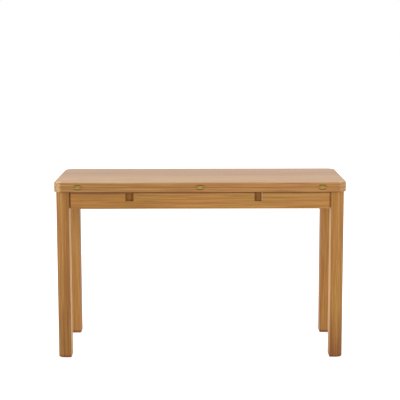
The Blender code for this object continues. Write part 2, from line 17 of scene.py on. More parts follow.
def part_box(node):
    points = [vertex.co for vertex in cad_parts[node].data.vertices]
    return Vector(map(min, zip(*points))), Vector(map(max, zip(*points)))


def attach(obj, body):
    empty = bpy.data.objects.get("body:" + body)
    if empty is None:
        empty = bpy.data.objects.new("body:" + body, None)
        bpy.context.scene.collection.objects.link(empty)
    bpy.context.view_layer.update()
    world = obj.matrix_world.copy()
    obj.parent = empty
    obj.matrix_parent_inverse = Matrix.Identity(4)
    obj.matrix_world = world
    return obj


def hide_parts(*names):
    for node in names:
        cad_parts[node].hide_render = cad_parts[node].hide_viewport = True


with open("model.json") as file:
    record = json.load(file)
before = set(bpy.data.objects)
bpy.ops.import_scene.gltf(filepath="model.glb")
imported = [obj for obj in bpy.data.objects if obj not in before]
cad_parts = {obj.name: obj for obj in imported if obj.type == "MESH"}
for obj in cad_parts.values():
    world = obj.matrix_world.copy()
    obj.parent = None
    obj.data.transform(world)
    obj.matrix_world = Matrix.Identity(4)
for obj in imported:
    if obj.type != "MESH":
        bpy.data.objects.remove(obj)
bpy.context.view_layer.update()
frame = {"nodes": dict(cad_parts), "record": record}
nodes = frame["nodes"]

# %% [markdown]
# ## The camera
# The photograph was taken almost level, from the front and a little above the top, with a long lens. A camera that
# only tilts down makes the legs lean together, and one that only shifts its sensor keeps them upright. The shift
# stays moderate here, because every other view of the table keeps it too, and a small tilt makes up the rest. In the
# photograph the right side stands a trace higher than the left one, so the camera is also turned by a trace.

# %% Set up the camera
LENS_MM = 86.31
SENSOR_SHIFT = -0.155
CAMERA_PLACE = (0.0013, -4.062, 1.360)
CAMERA_TILT = math.radians(6.46)
CAMERA_TURN = math.radians(0.12)

camera_data = bpy.data.cameras.new("front_camera")
camera_data.lens = LENS_MM
camera_data.shift_y = SENSOR_SHIFT
camera = bpy.data.objects.new("front_camera", camera_data)
camera.location = CAMERA_PLACE
camera.rotation_euler = (math.pi / 2 - CAMERA_TILT, CAMERA_TURN, 0)
scene = bpy.context.scene
scene.collection.objects.link(camera)
scene.camera = camera
scene.view_settings.view_transform = "Standard"
print("camera", CAMERA_PLACE, "tilted down", round(math.degrees(CAMERA_TILT), 2), "degrees")

# %% [markdown]
# ## Writing finishes as sums
# A finish is a tree of shader nodes, and wiring one by hand takes many lines. One small class wraps a node's output,
# so that `1 - mask` or `rings * 3 + wander` adds the Math nodes by itself. Every other node comes from its one
# `node` method, which sets the node's own settings first and then its sockets.

# %% Wrap a socket for sums
class Wire:
    """One output of a shader node that can be used in Python sums."""

    def __init__(self, socket):
        self.socket = socket

    def node(self, kind, settings=(), sockets=(), output=0):
        """Add a node to the same tree and give a wire from one of its outputs."""
        tree = self.socket.id_data
        made = tree.nodes.new("ShaderNode" + kind)
        for name, value in dict(settings).items():
            if name == "stops":
                for number, (position, colour) in enumerate(value):
                    stops = made.color_ramp.elements
                    stop = stops[number] if number < len(stops) else stops.new(position)
                    stop.position, stop.color = position, (*colour, 1)
            else:
                setattr(made, name, value)
        for key, value in dict(sockets).items():
            if isinstance(value, Wire):
                tree.links.new(value.socket, made.inputs[key])
            else:
                made.inputs[key].default_value = value
        return Wire(made.outputs[output])

    def maths(self, operation, *values):
        return self.node("Math", {"operation": operation}, enumerate(values))

    def __add__(self, other):
        return self.maths("ADD", self, other)

    def __sub__(self, other):
        return self.maths("SUBTRACT", self, other)

    def __rsub__(self, other):
        return self.maths("SUBTRACT", other, self)

    def __mul__(self, other):
        return self.maths("MULTIPLY", self, other)

    def __pow__(self, other):
        return self.maths("POWER", self, other)

    __radd__ = __add__
    __rmul__ = __mul__


def new_finish(name, **constants):
    """A material with one main shader. Gives the material, the shader and a wire of the piece's own coordinates."""
    finish = bpy.data.materials.new(name)
    finish.use_nodes = True
    tree = finish.node_tree
    shader = tree.nodes["Principled BSDF"]
    for socket, value in constants.items():
        shader.inputs[socket.replace("_", " ")].default_value = value
    place = Wire(tree.nodes.new("ShaderNodeTexCoord").outputs["Object"])
    return finish, shader, place


def feed(shader, **wires):
    """Link wires to the sockets of a shader."""
    for socket, wire in wires.items():
        shader.id_data.links.new(wire.socket, shader.inputs[socket.replace("_", " ")])


print("finishes are written with", Wire.__name__, "sums")

# %% [markdown]
# ## Floor and light
# The picture is a studio cut-out: white all round, with light so soft that nothing throws a hard shadow. The faces
# towards the camera are darker than the white behind them, and so are those that turn to the right, so the world gives
# less light from where the camera stands, from the right and from overhead. Three panels add what such an even light
# lacks: a strong one on the left for the bright left corner, one in front for the right half of the rail, and a weak
# one on the right. Soft rays pass the floor, as if the table stood on a white sweep, and the camera sees plain white.

# %% Lay the floor and light it
HORIZON_LIGHT = 1.355
ZENITH_LOSS = 0.25
CAMERA_SIDE_LOSS = 0.44
RIGHT_SIDE_LOSS = 0.5
FLOOR_GLOW = 0.6
FLOOR_RADIUS = 40
FLOOR_SIDES = 64
# place, target, size and power of each panel
PANELS = {
    "front_panel": ((2.4, -3.0, 1.9), (0.2, 0, 0.5), (2.0, 1.6), 26),
    "left_panel": ((-4.6, -2.6, 1.6), (-0.3, 0, 0.6), (2.0, 2.0), 55),
    "right_panel": ((5.0, 0.4, 1.4), (0.3, 0, 0.5), (2.0, 2.0), 15),
}

world = bpy.data.worlds.new("white_studio")
world.use_nodes = True
world_tree = world.node_tree
direction = Wire(world_tree.nodes.new("ShaderNodeTexCoord").outputs["Generated"])
to_right = direction.node("SeparateXYZ", {}, {0: direction}, 0)
to_back = direction.node("SeparateXYZ", {}, {0: direction}, 1)
upward = direction.node("SeparateXYZ", {}, {0: direction}, 2)
camera_side = (0.5 - to_back * 0.5) ** 2
right_side = to_right.maths("MAXIMUM", to_right, 0.0) ** 2
sky = HORIZON_LIGHT * (1 - upward * upward * ZENITH_LOSS)
sky = sky * (1 - camera_side * CAMERA_SIDE_LOSS) * (1 - right_side * RIGHT_SIDE_LOSS)
seen = direction.node("LightPath", {}, {}, 0)
brightness = seen + (1 - seen) * sky
world_tree.links.new(brightness.socket, world_tree.nodes["Background"].inputs["Strength"])
world_tree.nodes["Background"].inputs["Color"].default_value = (1, 1, 1, 1)
scene.world = world

floor_shape = bmesh.new()
bmesh.ops.create_circle(floor_shape, cap_ends=True, segments=FLOOR_SIDES, radius=FLOOR_RADIUS)
floor_mesh = bpy.data.meshes.new("studio_floor")
floor_shape.to_mesh(floor_mesh)
floor_shape.free()
floor = bpy.data.objects.new("studio_floor", floor_mesh)
scene.collection.objects.link(floor)
floor.visible_diffuse = False
floor_finish = new_finish(
    "pale_floor",
    Base_Color=(0.9, 0.9, 0.9, 1),
    Roughness=0.9,
    Emission_Color=(1, 1, 1, 1),
    Emission_Strength=FLOOR_GLOW,
)[0]
floor_mesh.materials.append(floor_finish)


def hang_panel(name, place, target, size, power):
    """A flat area light at a place, turned towards a target."""
    data = bpy.data.lights.new(name, "AREA")
    data.energy = power
    data.shape = "RECTANGLE"
    data.size, data.size_y = size
    panel = bpy.data.objects.new(name, data)
    panel.location = place
    panel.rotation_euler = (Vector(target) - Vector(place)).to_track_quat("-Z", "Y").to_euler()
    scene.collection.objects.link(panel)


for name, settings in PANELS.items():
    hang_panel(name, *settings)
print("lit by a white world and", len(PANELS), "panels")

# %% [markdown]
# ## Oak
# The wooden pieces are oak, most of them under a thin clear lacquer. In the picture the colour is a warm honey brown
# with streaks a few millimetres high that run far along each piece, a little redder where they are dark. A flat colour
# with a picture of grain would break at every edge, so the grain here is solid: growth rings round a heart line that
# lies outside the piece, noise stretched along the grain, and fine dark pores. The same sum then gives long streaks on
# the faces and rings on the ends. The varying values feed only colour, roughness and a bump.

# %% Small sums on a place
TURNED_TO_GRAIN = {"X": (0, 0, 0), "Y": (0, 0, -math.pi / 2), "Z": (0, math.pi / 2, 0)}


def axis(place, number):
    """One coordinate of a place."""
    return place.node("SeparateXYZ", {}, {0: place}, number)


def rise(wire, start, end):
    """0 up to the start, 1 from the end, and a straight slope between."""
    return wire.node("MapRange", {}, {"Value": wire, "From Min": start, "From Max": end})


def size(wire):
    """A value without its sign."""
    return wire.maths("ABSOLUTE", wire)


def tinted(colour, mask, tint):
    """A colour multiplied by a tint where the mask is 1, and by more of it where the mask is higher."""
    settings = {"data_type": "RGBA", "blend_type": "MULTIPLY", "clamp_factor": False}
    return colour.node("Mix", settings, {0: mask, 6: colour, 7: (*tint, 1)}, 2)


print("grain can run along", ", ".join(TURNED_TO_GRAIN))

# %% Grow the oak
OAK_TONES = [(0.1, (0.285, 0.108, 0.013)), (0.5, (0.398, 0.166, 0.028)), (0.9, (0.500, 0.236, 0.060))]
RINGS_PER_METRE = 260
LATE_WOOD_POWER = 4
# scales along and across the grain, and detail, of the layers of noise
WANDER = ((0.9, 7, 7), 2)
BROAD = ((1.3, 34, 34), 2)
STREAK = ((5, 250, 250), 3)
FIBRE = ((14, 900, 900), 2)
GOLD = ((2, 14, 14), 2)
GOLD_RANGE = (0.4, 0.65)
RINGS_WANDER = 7
# how much each layer darkens or lightens the wood
BROAD_SHARE = 0.8
STREAK_SHARE = 1.9
FIBRE_SHARE = 0.6
LATE_SHARE = 0.25
LATE_MEAN = 0.2
PORE_SCALE = (45, 1500, 1500)
PORE_SIZE = 0.22
PORE_DEPTH = 0.6
PORE_TINT = (0.45, 0.40, 0.35)
BOARD_SHIFT = (3.1, 0.37, 0.21)
BOARD_STEP = 0.3
GRAIN_BUMP = {"Strength": 0.25, "Distance": 0.0003}
FIBRE_RELIEF = 0.4
LATE_RELIEF = 0.2
PORE_DULL = 0.2
STREAK_DULL = 0.14
COAT_ROUGHNESS = 0.3
# the first tint paints shade into the colour, except on the back arris of the leaves, which it only darkens; the second
# paints light and highlights in
DARKENING_TINT = (0.48, 0.33, 0.12)
PAINTED_LIGHT_TINT = (1.4, 1.65, 2.6)
GOLDEN = (0.95, 1.04, 0.98)
POLISH = 0.6


def oak(
    name, along, heart, tones=OAK_TONES, tone=0.0, painted_light_along_x=0.0, dull=0.62, coat=0.05,
    board=None, stain=None, rubbed=None, polished=None, **constants
):
    """Lacquered oak with its grain along an axis. The heart says how far off the middle of the trunk lies."""
    finish, shader, place = new_finish(name, Coat_Weight=coat, Coat_Roughness=COAT_ROUGHNESS, **constants)
    grain = place.node("Mapping", {}, {"Vector": place, "Rotation": TURNED_TO_GRAIN[along], "Location": heart})
    lift = axis(place, 0) * painted_light_along_x + tone
    if board:
        number = place.maths("FLOOR", axis(place, 1) * (1 / board))
        chance = number.node("TexWhiteNoise", {"noise_dimensions": "1D"}, {"W": number + heart[0]}, 0)
        moved = chance.node("CombineXYZ", {}, enumerate(chance * shift for shift in BOARD_SHIFT))
        grain = grain.node("VectorMath", {"operation": "ADD"}, {0: grain, 1: moved})
        lift = (chance - 0.5) * BOARD_STEP + lift

    def stretched(*scale):
        return grain.node("VectorMath", {"operation": "MULTIPLY"}, {0: grain, 1: scale})

    def noise(scale, detail):
        return grain.node("TexNoise", {}, {"Vector": stretched(*scale), "Scale": 1, "Detail": detail})

    wander = noise(*WANDER)
    radius = grain.node("VectorMath", {"operation": "LENGTH"}, {0: stretched(0, 1, 1)}, 1)
    season = grain.maths("FRACT", radius * RINGS_PER_METRE + wander * RINGS_WANDER)
    late = season**LATE_WOOD_POWER
    broad, streak, fibre = noise(*BROAD), noise(*STREAK), noise(*FIBRE)
    cell = grain.node("TexVoronoi", {}, {"Vector": stretched(*PORE_SCALE), "Scale": 1})
    pore = grain.maths("LESS_THAN", cell, PORE_SIZE) * (1 - season) ** 2
    depth = 0.5 + (broad - 0.5) * BROAD_SHARE + (streak - 0.5) * STREAK_SHARE + (fibre - 0.5) * FIBRE_SHARE
    depth = depth + (LATE_MEAN - late) * LATE_SHARE + lift
    colour = tinted(depth.node("ValToRGB", {"stops": tones}, {"Fac": depth}), pore * PORE_DEPTH, PORE_TINT)
    colour = tinted(colour, rise(noise(*GOLD), *GOLD_RANGE), GOLDEN)
    # the first mask mostly paints shade into the colour, the second paints light and highlights into it
    if stain:
        colour = tinted(colour, stain(place), DARKENING_TINT)
    if rubbed:
        colour = tinted(colour, rubbed(place), PAINTED_LIGHT_TINT)
    height = fibre * FIBRE_RELIEF - pore - late * LATE_RELIEF
    bump = height.node("Bump", {}, {"Height": height, **GRAIN_BUMP})
    roughness = dull + pore * PORE_DULL + (streak - 0.5) * STREAK_DULL
    feed(shader, Base_Color=colour, Roughness=roughness, Normal=bump)
    if polished:
        feed(shader, Coat_Weight=polished(place) * POLISH + coat)
    return finish


print("oak tones run over", len(OAK_TONES), "stops")

# %% [markdown]
# ## One oak for each piece
# No two pieces of the real table come from the same spot of a tree, so each gets its own heart line and a slightly
# lighter or darker tone. The two leaves are glued up from boards about a hand wide, which a step in the tone and the
# grain shows. Shade is painted into the colour where little light reaches: the strip of rail under the overhang, the
# tenons inside the gaps beside the legs, the under arris of the top, the inner faces of the back legs and the lowest
# part of every leg, most of all just above the pad. The back arris of the top is painted darker too. Light and
# highlights are painted into the arris, the front corners and the front strip of the top, a line where the legs'
# roundings begin and the inner faces of the front legs, which catch a bright grazing light, and the long rails are
# painted lighter towards their right end.

# %% Choose the oak of leaves, rails and legs
LEAF_BOARD = 0.1
LACQUER_MIRROR = 0.4
OVERHANG_SHADE = (0.6925, 0.6970)
RAIL_SHOULDER = 0.531
END_RAIL_SHOULDER = 0.131
TENON_EDGE = 0.0006
TENON_SHADE = 0.65
TENON_SHADE_LOSS = 0.45
# where a leaf's front corner turns, seen from its middle: begin and end of each slope of the mask of painted highlight
TURN_BEGINS = (0.566, 0.574)
TURN_ENDS = (0.583, 0.595)
TURN_DEPTH = (0.164, 0.174)
RIGHT_CORNER_LOSS = 0.55
ENDS_PAST_FRONT = 0.4
TOP_ARRIS = (0.1972, 0.1990)
TOP_ARRIS_HEIGHT = (0.7362, 0.7378)
FRONT_STRIP = (-0.02, 0.19)
FRONT_STRIP_HEIGHT = (0.735, 0.7385)
FRONT_STRIP_LIGHT = 0.65
BACK_ARRIS = (0.1955, 0.1985)
BACK_DARKENING = 0.5
UNDER_RIM = (0.190, 0.195)
UNDER_ARRIS_HEIGHT = (0.7008, 0.7026)
MIDDLE = (-0.3, 0.3)
RAIL_MIDDLE = (-0.1, 0.1)


def under_overhang(number, shoulder):
    """Painted shade under the overhang of a rail, and on its tenons, which start at a distance along one axis."""

    def mask(place):
        along = axis(place, number)
        # the tenons' painted shade is lighter at the positive end of the axis, at the right end of the long rails
        strength = TENON_SHADE - rise(along, *RAIL_MIDDLE) * TENON_SHADE_LOSS
        tenon = rise(size(along), shoulder - TENON_EDGE, shoulder) * strength
        return tenon.maths("MAXIMUM", tenon, rise(axis(place, 2), *OVERHANG_SHADE))

    return mask


# The corner mask paints a highlight into the colour of the front corners, more on the left one, and thickens their
# coat.
def front_corners(place):
    """The turn of a leaf's two front corners, the left one more than the right one."""
    along = size(axis(place, 0))
    turn = rise(along, *TURN_BEGINS) * (1 - rise(along, *TURN_ENDS)) * rise(0 - axis(place, 1), *TURN_DEPTH)
    return turn * (1 - rise(axis(place, 0), *MIDDLE) * RIGHT_CORNER_LOSS)


def leaf_painted_light(place):
    """Painted light on a leaf: highlights on its arris and front corners and, faintly, on its front strip."""
    along, deep, high = size(axis(place, 0)), axis(place, 1), axis(place, 2)
    rim = along.maths("MAXIMUM", along - ENDS_PAST_FRONT, 0 - deep)
    arris = rise(rim, *TOP_ARRIS) * rise(high, *TOP_ARRIS_HEIGHT)
    corner = front_corners(place)
    front = rise(0 - deep, *FRONT_STRIP) * rise(high, *FRONT_STRIP_HEIGHT) * FRONT_STRIP_LIGHT
    return arris.maths("MAXIMUM", arris, corner.maths("MAXIMUM", corner, front))


def darker_back_and_shaded_under(place):
    """A darker back arris of a leaf, and painted shade on its under arris at the front and the ends."""
    along, deep, high = size(axis(place, 0)), axis(place, 1), axis(place, 2)
    back = rise(deep, *BACK_ARRIS) * BACK_DARKENING
    rim = rise(along.maths("MAXIMUM", along - ENDS_PAST_FRONT, 0 - deep), *UNDER_RIM)
    return back.maths("MAXIMUM", back, rim * (1 - rise(high, *UNDER_ARRIS_HEIGHT)))


LEAF_FINISH = {
    "dull": 0.45,
    "coat": 0.11,
    "board": LEAF_BOARD,
    "stain": darker_back_and_shaded_under,
    "rubbed": leaf_painted_light,
    "polished": front_corners,
}
upper_oak = oak("upper_leaf_oak", "X", (0.3, 0.9, 0.15), tone=0.05, **LEAF_FINISH)
lower_oak = oak("lower_leaf_oak", "X", (1.7, 0.8, -0.35), tone=0.13, **LEAF_FINISH)
# The long rails are painted lighter towards their right end, where more light falls.
rail_oak = oak(
    "long_rail_oak",
    "X",
    (0.9, 0.35, 0.6),
    tone=0.105,
    painted_light_along_x=0.34,
    stain=under_overhang(0, RAIL_SHOULDER),
    Specular_IOR_Level=LACQUER_MIRROR,
)
end_rail_oak = oak("end_rail_oak", "Y", (0.4, 0.5, 0.3), stain=under_overhang(1, END_RAIL_SHOULDER))
hidden_oak = oak("bearer_oak", "Y", (0.7, 0.3, 0.8), tone=-0.1)
LEG_ROUNDING = 0.024
LEG_INNER_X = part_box("leg_front_right")[0].x
LEG_ROUNDING_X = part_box("leg_front_right")[1].x - LEG_ROUNDING
INNER_FACE = (LEG_INNER_X + 0.0003, LEG_INNER_X + 0.0012)
FOOT_SHADE_LINE = (0.009, 0.017)
ROUNDING_LIGHT_BEGINS = (-0.004, -0.001)
ROUNDING_LIGHT_ENDS = (0.002, 0.016)
ROUNDING_LIGHT_HEIGHT = (0.0, 0.6)
LEG_HEARTS = {
    "front_left": (0.1, 1.05, 0.4),
    "front_right": (0.4, 0.90, 0.4),
    "back_left": (0.7, 0.90, 0.4),
    "back_right": (1.0, 0.99, 0.4),
}
# tone; height and strength of the painted shade that grows towards the foot; painted shade and painted light on the
# inner face; painted highlight where the rounding begins. Painted light above 1 goes past the full tint.
LEG_TONE_SHADE_AND_LIGHT = {
    "front_left": (-0.15, 0.62, 0.42, 0.0, 1.6, 0.45),
    "front_right": (-0.02, 0.21, 0.85, 0.0, 0.8, 0.25),
    "back_left": (0.11, 0.1, 0.2, 0.6, 0.0, 0.1),
    "back_right": (0.08, 0.1, 0.2, 0.6, 0.0, 0.1),
}


def inner_face(place):
    """1 on the face of a leg towards the knee space."""
    return 1 - rise(size(axis(place, 0)), *INNER_FACE)


def leg_painted_shade(reach, strength, inner_shade):
    """Painted shade towards the floor, darkest in a line above the pad, and on the inner face."""

    def mask(place):
        high = axis(place, 2)
        faded = (1 - rise(high, 0.0, reach)) * strength
        line = 1 - rise(high, *FOOT_SHADE_LINE)
        return faded.maths("MAXIMUM", faded, line.maths("MAXIMUM", line, inner_face(place) * inner_shade))

    return mask


def leg_painted_light(inside, outside):
    """Painted light on the inner face, and a painted highlight where the rounding begins, fading towards the floor."""

    def mask(place):
        aside = size(axis(place, 0)) - LEG_ROUNDING_X
        line = rise(aside, *ROUNDING_LIGHT_BEGINS) * (1 - rise(aside, *ROUNDING_LIGHT_ENDS)) * rise(axis(place, 2), *ROUNDING_LIGHT_HEIGHT)
        return inner_face(place) * inside + line * outside

    return mask


leg_oaks = {
    corner: oak(
        f"leg_{corner}_oak",
        "Z",
        LEG_HEARTS[corner],
        tone=tone,
        stain=leg_painted_shade(reach, strength, inner_shade),
        rubbed=leg_painted_light(inside, outside),
        Specular_IOR_Level=LACQUER_MIRROR,
    )
    for corner, (tone, reach, strength, inner_shade, inside, outside) in LEG_TONE_SHADE_AND_LIGHT.items()
}
oaks = [upper_oak, lower_oak, rail_oak, end_rail_oak, hidden_oak, *leg_oaks.values()]
print("oak for", len(oaks), "kinds of piece")

# %% [markdown]
# ## Loper wood
# The two bars that carry the opened leaf show only their ends, in notches of the front rail. They are much darker than
# the rail and have no gloss: bare wood, darkened by handling, with end grain that has drunk the dirt. Their still
# darker rim is painted shade, for the dark gaps round them in the notches. The same oak sum serves with darker tones,
# hardly any mirror light, and a mask of painted shade on each end. A pale slip closes the wide side of the right notch,
# as the bright line there shows; its pale tone is painted light, for the light that falls on that side of the notch.
# The left notch has soft brown sides, so slips of the dark wood go there.

# %% Darken the lopers
LOPER_TONES = [(0.1, (0.135, 0.045, 0.006)), (0.5, (0.232, 0.090, 0.016)), (0.9, (0.315, 0.138, 0.033))]
PAINTED_LIGHT_SLIP_TONES = [(0.1, (0.45, 0.24, 0.10)), (0.5, (0.54, 0.31, 0.15)), (0.9, (0.62, 0.38, 0.20))]
LOPER_MIDDLES = [(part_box(name)[0].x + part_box(name)[1].x) / 2 for name in ("loper_left", "loper_right")]
LOPER_HALF = (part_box("loper_left")[1].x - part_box("loper_left")[0].x) / 2
LOPER_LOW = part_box("loper_left")[0].z
SIDE_SHADE = (LOPER_HALF - 0.009, LOPER_HALF - 0.002)
BOTTOM_SHADE = (LOPER_LOW + 0.001, LOPER_LOW + 0.005)
BOTTOM_SHARE = 0.7
END_SHADE = 0.5
BARE_MIRROR = 0.15
SLIP_MIRROR = 0.3


def gap_shade_round_the_end(place):
    """Painted shade along both sides and the bottom of a loper, for the dark gaps of its notch."""
    left, right = (size(axis(place, 0) - middle) for middle in LOPER_MIDDLES)
    sides = rise(left.maths("MINIMUM", left, right), *SIDE_SHADE)
    bottom = 1 - rise(axis(place, 2), *BOTTOM_SHADE)
    return sides.maths("MAXIMUM", sides, bottom * BOTTOM_SHARE) * END_SHADE


loper_wood = oak(
    "loper_wood",
    "Y",
    (0.2, 0.02, -0.6),
    LOPER_TONES,
    stain=gap_shade_round_the_end,
    coat=0.0,
    Specular_IOR_Level=BARE_MIRROR,
)
# the slip's pale tones are painted light, for the light that falls on that side of the right notch
slip_wood = oak("pale_slip_wood", "Y", (0.5, 0.4, 0.7), PAINTED_LIGHT_SLIP_TONES, Specular_IOR_Level=SLIP_MIRROR)
brown_slip_wood = oak(
    "brown_slip_wood", "Y", (0.6, 0.1, 0.5), LOPER_TONES, coat=0.0, Specular_IOR_Level=BARE_MIRROR
)
print("lopers at x", [round(middle, 4) for middle in LOPER_MIDDLES])

# %% [markdown]
# ## Brass, steel and felt
# The hinges are small brass plates let into the front edges. Their middles are bright from the turning of the knuckles,
# their rims are browned by tarnish and by painted shade from the pocket's edge, and their ends are reddish, so the
# brass is tinted by the distance from the hinge's middle.
# Under the table the corner brackets, bolts and nuts are zinc plated steel, cloudy and a little scratched, and the
# feet stand on brown felt. Clouds of noise vary the colour of all three and the roughness of the metals.

# %% Mix the metals and the felt
HINGE_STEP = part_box("hinge_right_pin")[0].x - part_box("hinge_centre_pin")[0].x
FOLD_Z = (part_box("hinge_left_pin")[0].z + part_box("hinge_left_pin")[1].z) / 2
# distances from a hinge's middle at which its look changes, along it and away from the fold
REDDENS = (0.004, 0.012)
RIM_DARKENING_ENDS = (0.014, 0.019)
RIM_BROWNS = (0.0045, 0.0075)
TARNISH_AND_SHADE = (0.5, 0.36, 0.12)
REDDISH = (0.95, 0.72, 0.5)
SCRATCH_SCALE = 2400
BRUSH_SCALE = (300, 300, 4000)
HAIR_SCALE = 3500
SCRATCH_BUMP = {"Strength": 0.12, "Distance": 0.0001}
BRUSH_BUMP = {"Strength": 0.15, "Distance": 0.0001}
HAIR_BUMP = {"Strength": 0.6, "Distance": 0.0005}
RAGGED_END = 0.005
RAGGED_RIM = 0.003
CLOUD_STOPS = (0.3, 0.7)
# roughness of the clean metal, and what clouds and rim or brush marks add
BRASS_DULL = (0.28, 0.15, 0.25)
STEEL_DULL = (0.25, 0.25, 0.1)


def clouded(name, size_of_cloud, dark, light, **constants):
    """A finish between two colours, mixed by a cloud of noise. Gives the parts that further sums need."""
    finish, shader, place = new_finish(name, **constants)
    cloud = place.node("TexNoise", {}, {"Vector": place, "Scale": 1 / size_of_cloud, "Detail": 4})
    colour = cloud.node("ValToRGB", {"stops": list(zip(CLOUD_STOPS, (dark, light)))}, {"Fac": cloud})
    return finish, shader, place, cloud, colour


hinge_brass, shader, place, cloud, colour = clouded(
    "hinge_brass", 0.003, (0.265, 0.195, 0.065), (0.405, 0.308, 0.122), Metallic=1.0
)
from_middle = axis(place, 0).maths("WRAP", axis(place, 0) + HINGE_STEP / 2, HINGE_STEP, 0.0) - HINGE_STEP / 2
aside = size(from_middle) + (cloud - 0.5) * RAGGED_END
end = rise(aside, *REDDENS)
# the rim's browning is tarnish and the painted shade of the pocket's edge
rim = rise(size(axis(place, 2) - FOLD_Z) + (cloud - 0.5) * RAGGED_RIM, *RIM_BROWNS)
tarnish_and_shade = rim * (1 - rise(aside, *RIM_DARKENING_ENDS))
scratch = place.node("TexNoise", {}, {"Vector": place, "Scale": SCRATCH_SCALE, "Detail": 2})
dent = scratch.node("Bump", {}, {"Height": scratch, **SCRATCH_BUMP})
feed(
    shader,
    Base_Color=tinted(tinted(colour, tarnish_and_shade, TARNISH_AND_SHADE), end, REDDISH),
    Roughness=BRASS_DULL[0] + cloud * BRASS_DULL[1] + rim * BRASS_DULL[2],
    Normal=dent,
)

zinc_steel, shader, place, cloud, colour = clouded(
    "zinc_steel", 0.006, (0.30, 0.30, 0.28), (0.48, 0.49, 0.48), Metallic=1.0
)
brushed = place.node("VectorMath", {"operation": "MULTIPLY"}, {0: place, 1: BRUSH_SCALE})
brush = brushed.node("TexNoise", {}, {"Vector": brushed, "Scale": 1, "Detail": 2})
dent = brush.node("Bump", {}, {"Height": brush, **BRUSH_BUMP})
roughness = STEEL_DULL[0] + cloud * STEEL_DULL[1] + brush * STEEL_DULL[2]
feed(shader, Base_Color=colour, Roughness=roughness, Normal=dent)

brown_felt, shader, place, cloud, colour = clouded(
    "brown_felt", 0.0012, (0.05, 0.033, 0.022), (0.13, 0.09, 0.06), Roughness=0.95, Sheen_Weight=0.3
)
hair = place.node("TexNoise", {}, {"Vector": place, "Scale": HAIR_SCALE, "Detail": 3})
fuzz = hair.node("Bump", {}, {"Height": hair + cloud, **HAIR_BUMP})
feed(shader, Base_Color=colour, Normal=fuzz)
print("hinges every", round(HINGE_STEP, 3), "m along the fold at z", round(FOLD_Z, 4))

# %% [markdown]
# ## Tools for shaping
# Most pieces are blocks and turned pins, so a few helpers are enough: a block between two corners, a turned shape from
# a profile, a rounding of chosen edges and a cut with other shapes. The last one uses a Boolean and keeps only its
# result, so that no cutter stays in the scene. Each finished shape is set in its place with its finish, rides on the
# body it belongs to, and stands for the solids that it replaces.

# %% Blocks, turned shapes and cuts
FIT = 0.0003
CUT_PAST = 0.002
SAME_PLACE = 1e-6
SMOOTH_BELOW = math.radians(40)
SLOTS = {row["node"]: row["material_slot"] for row in frame["record"]["subparts"]}


def add_block(shape, low, high):
    """Add a box between two opposite corners."""
    low, high = Vector(low), Vector(high)
    place = Matrix.Translation((low + high) / 2) @ Matrix.Diagonal((*(high - low), 1))
    bmesh.ops.create_cube(shape, size=1, matrix=place)
    return shape


def add_rod(shape, start, end, radius, sides=32):
    """Add a round rod from one point to another."""
    start, end = Vector(start), Vector(end)
    turn = (end - start).to_track_quat("Z", "Y").to_matrix().to_4x4()
    place = Matrix.Translation((start + end) / 2) @ turn
    bmesh.ops.create_cone(
        shape, cap_ends=True, segments=sides, radius1=radius, radius2=radius, depth=(end - start).length, matrix=place
    )
    return shape


def turned(profile, start, direction, sides=32):
    """A turned shape from (distance, radius) points that begin and end on the axis."""
    shape = bmesh.new()
    points = [shape.verts.new((radius, 0, along)) for along, radius in profile]
    lines = [shape.edges.new(pair) for pair in zip(points, points[1:])]
    bmesh.ops.spin(
        shape, geom=points + lines, cent=(0, 0, 0), axis=(0, 0, 1), angle=2 * math.pi, steps=sides, use_merge=True
    )
    bmesh.ops.remove_doubles(shape, verts=shape.verts, dist=SAME_PLACE)
    bmesh.ops.recalc_face_normals(shape, faces=shape.faces)
    turn = Vector(direction).to_track_quat("Z", "Y").to_matrix().to_4x4()
    bmesh.ops.transform(shape, matrix=Matrix.Translation(start) @ turn, verts=shape.verts)
    return shape


def round_off(shape, edges, radius, steps):
    """Round edges with an arc."""
    bmesh.ops.bevel(
        shape, geom=edges, offset=radius, segments=steps, profile=0.5, affect="EDGES", material=-1, clamp_overlap=True
    )


def mesh_of(name, shape):
    """Turn a shape into a mesh."""
    mesh = bpy.data.meshes.new(name)
    shape.to_mesh(mesh)
    shape.free()
    return mesh


def cut(name, shape, tools, operation="DIFFERENCE"):
    """A mesh of the shape with the tools' shapes cut away, or of what lies inside them."""
    wood = bpy.data.objects.new(name, mesh_of(name, shape))
    scene.collection.objects.link(wood)
    cutters = [bpy.data.objects.new(name + "_tool", mesh_of(name + "_tool", tool)) for tool in tools]
    for cutter in cutters:
        scene.collection.objects.link(cutter)
        step = wood.modifiers.new("cut", "BOOLEAN")
        step.object, step.operation = cutter, operation
    graph = bpy.context.evaluated_depsgraph_get()
    mesh = bpy.data.meshes.new_from_object(wood.evaluated_get(graph))
    for item in [wood, *cutters]:
        bpy.data.objects.remove(item, do_unlink=True)
    return mesh


def set_in_place(name, mesh, finish, body, slot, *stands_for):
    """Put a finished piece into the scene on its body, in the place of some solids."""
    mesh.materials.clear()
    mesh.materials.append(finish)
    mesh.shade_smooth()
    mesh.set_sharp_from_angle(angle=SMOOTH_BELOW)
    piece = bpy.data.objects.new(name, mesh)
    scene.collection.objects.link(piece)
    piece.modifiers.new("even_shading", "WEIGHTED_NORMAL").keep_sharp = True
    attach(piece, body)
    if stands_for:
        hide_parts(*stands_for)
    return piece


print("solids in", len(set(SLOTS.values())), "slots are ready to be dressed")

# %% [markdown]
# ## The two leaves
# Each leaf is a board 20 mm thick with well rounded corners, a soft outer edge and a crisp inner edge, so that the two
# lie on each other with a fine dark line between them. It could be drawn as an outline and raised; a block with its
# upright edges rounded and then its faces' outlines rounded gives the same with three bevels. The pockets for the
# hinge plates, the hollow for the barrels and the screw holes are cut from the places of those solids.

